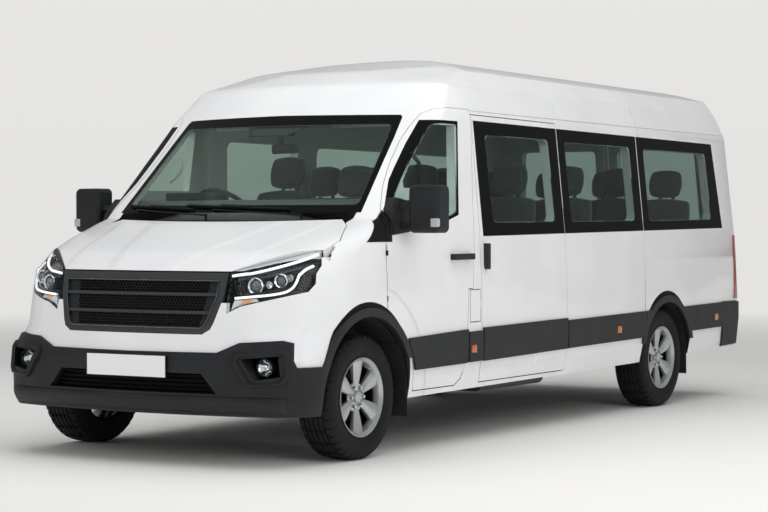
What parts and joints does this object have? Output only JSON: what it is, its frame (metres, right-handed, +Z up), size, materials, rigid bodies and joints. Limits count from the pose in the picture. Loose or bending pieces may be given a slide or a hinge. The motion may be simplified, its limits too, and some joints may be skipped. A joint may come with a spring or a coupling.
{
  "type": "minibus",
  "caption": "High-roof passenger minibus with hinged cab doors, bonnet, rear doors and fuel flap, steered front wheels and a furnished cabin.",
  "frame": {"origin": "on the ground, in the centre plane, at the middle of the vehicle's length over the bumpers", "axes": "+X to the vehicle's left, -Y to its front, +Z up"},
  "size_m": [2.524, 5.9, 2.2759],
  "materials": {
    "white_paint": "gloss",
    "black_plastic": "grained",
    "tinted_glass": "polished",
    "lamp_lens": "polished",
    "red_lens": "gloss",
    "amber_lens": "gloss",
    "plate_white": "satin",
    "tyre_rubber": "moulded",
    "flap_rubber": "moulded",
    "alloy": "satin",
    "steel_black": "satin",
    "cast": "cast",
    "steel": "satin",
    "grey_trim": "grained",
    "floor_mat": "ribbed",
    "seat_fabric": "woven"
  },
  "bodies": {
    "body": {"body_side_left": "white_paint", "body_side_right": "white_paint", "roof_front": "white_paint", "roof_rear": "white_paint", "front_wings": "white_paint", "front_bumper": "white_paint", "sliding_door": "white_paint", "rear_bumper": "white_paint", "lower_bumper": "black_plastic", "grille": "black_plastic", "wipers": "black_plastic", "body_cladding": "black_plastic", "windscreen": "tinted_glass", "side_glass": "tinted_glass", "front_lamps": "lamp_lens", "tail_lamps": "red_lens", "side_markers": "amber_lens", "number_plates": "plate_white", "bulkhead": "steel_black", "floor": "floor_mat", "chassis_frame": "steel_black", "engine": "cast", "front_suspension": "steel_black", "rear_axle": "cast", "exhaust": "steel", "fuel_tank": "black_plastic", "arch_liners": "flap_rubber", "dashboard": "grey_trim", "front_seats": "seat_fabric", "passenger_seats": "seat_fabric", "seat_frames": "steel_black"},
    "front_door_left": {"front_door_left": "white_paint", "front_door_glass_left": "tinted_glass", "door_trim_left": "black_plastic"},
    "front_door_right": {"front_door_right": "white_paint", "front_door_glass_right": "tinted_glass", "door_trim_right": "black_plastic"},
    "bonnet": {"bonnet": "white_paint"},
    "rear_door_left": {"rear_door_left": "white_paint", "rear_door_glass_left": "tinted_glass"},
    "rear_door_right": {"rear_door_right": "white_paint", "rear_door_glass_right": "tinted_glass"},
    "fuel_flap": {"fuel_flap": "white_paint"},
    "steering_wheel": {"steering_wheel": "grey_trim"},
    "knuckle_left": {"knuckle_left": "cast"},
    "knuckle_right": {"knuckle_right": "cast"},
    "wheel_front_left": {"rim_front_left": "alloy", "tyre_front_left": "tyre_rubber"},
    "wheel_front_right": {"rim_front_right": "alloy", "tyre_front_right": "tyre_rubber"},
    "wheel_rear_left": {"rim_rear_left": "alloy", "tyre_rear_left": "tyre_rubber"},
    "wheel_rear_right": {"rim_rear_right": "alloy", "tyre_rear_right": "tyre_rubber"}
  },
  "joints": [
    {"name": "front_door_left_hinge", "type": "hinge", "parent": "body", "child": "front_door_left", "pos_m": [1.012, -1.969, 0.95], "axis": [0, 0, -1], "range_deg": [0, 72]},
    {"name": "front_door_right_hinge", "type": "hinge", "parent": "body", "child": "front_door_right", "pos_m": [-1.012, -1.969, 0.95], "axis": [0, 0, 1], "range_deg": [0, 72]},
    {"name": "bonnet_hinge", "type": "hinge", "parent": "body", "child": "bonnet", "pos_m": [0, -2.039, 1.25], "axis": [-1, 0, 0], "range_deg": [0, 50]},
    {"name": "rear_door_left_hinge", "type": "hinge", "parent": "body", "child": "rear_door_left", "pos_m": [0.872, 2.942, 0.8], "axis": [0, 0.0797, -0.9968], "range_deg": [0, 180]},
    {"name": "rear_door_right_hinge", "type": "hinge", "parent": "body", "child": "rear_door_right", "pos_m": [-0.872, 2.942, 0.8], "axis": [0, -0.0797, 0.9968], "range_deg": [0, 180]},
    {"name": "fuel_flap_hinge", "type": "hinge", "parent": "body", "child": "fuel_flap", "pos_m": [1.012, -0.953, 0.78], "axis": [0, 0, 1], "range_deg": [0, 90]},
    {"name": "steering_left", "type": "hinge", "parent": "body", "child": "knuckle_left", "pos_m": [0.79, -2.164, 0.232], "axis": [-0.1779, 0, 0.984], "range_deg": [-35, 35]},
    {"name": "steering_right", "type": "hinge", "parent": "body", "child": "knuckle_right", "pos_m": [-0.79, -2.164, 0.232], "axis": [0.1779, 0, 0.984], "range_deg": [-35, 35]},
    {"name": "steering_wheel_turn", "type": "hinge", "parent": "body", "child": "steering_wheel", "pos_m": [-0.45, -1.444, 1.32], "axis": [0, 0.7071, 0.7071], "range_deg": [-525, 525]},
    {"name": "wheel_front_left_spin", "type": "hinge", "parent": "knuckle_left", "child": "wheel_front_left", "pos_m": [0.87, -2.164, 0.334], "axis": [1, 0, 0], "continuous": true},
    {"name": "wheel_rear_left_spin", "type": "hinge", "parent": "body", "child": "wheel_rear_left", "pos_m": [0.87, 1.646, 0.334], "axis": [1, 0, 0], "continuous": true},
    {"name": "wheel_front_right_spin", "type": "hinge", "parent": "knuckle_right", "child": "wheel_front_right", "pos_m": [-0.87, -2.164, 0.334], "axis": [1, 0, 0], "continuous": true},
    {"name": "wheel_rear_right_spin", "type": "hinge", "parent": "body", "child": "wheel_rear_right", "pos_m": [-0.87, 1.646, 0.334], "axis": [1, 0, 0], "continuous": true}
  ],
  "couplings": [
    {"joint": "steering_right", "follows": "steering_left", "ratio": 1},
    {"joint": "steering_wheel_turn", "follows": "steering_left", "ratio": 15}
  ]
}
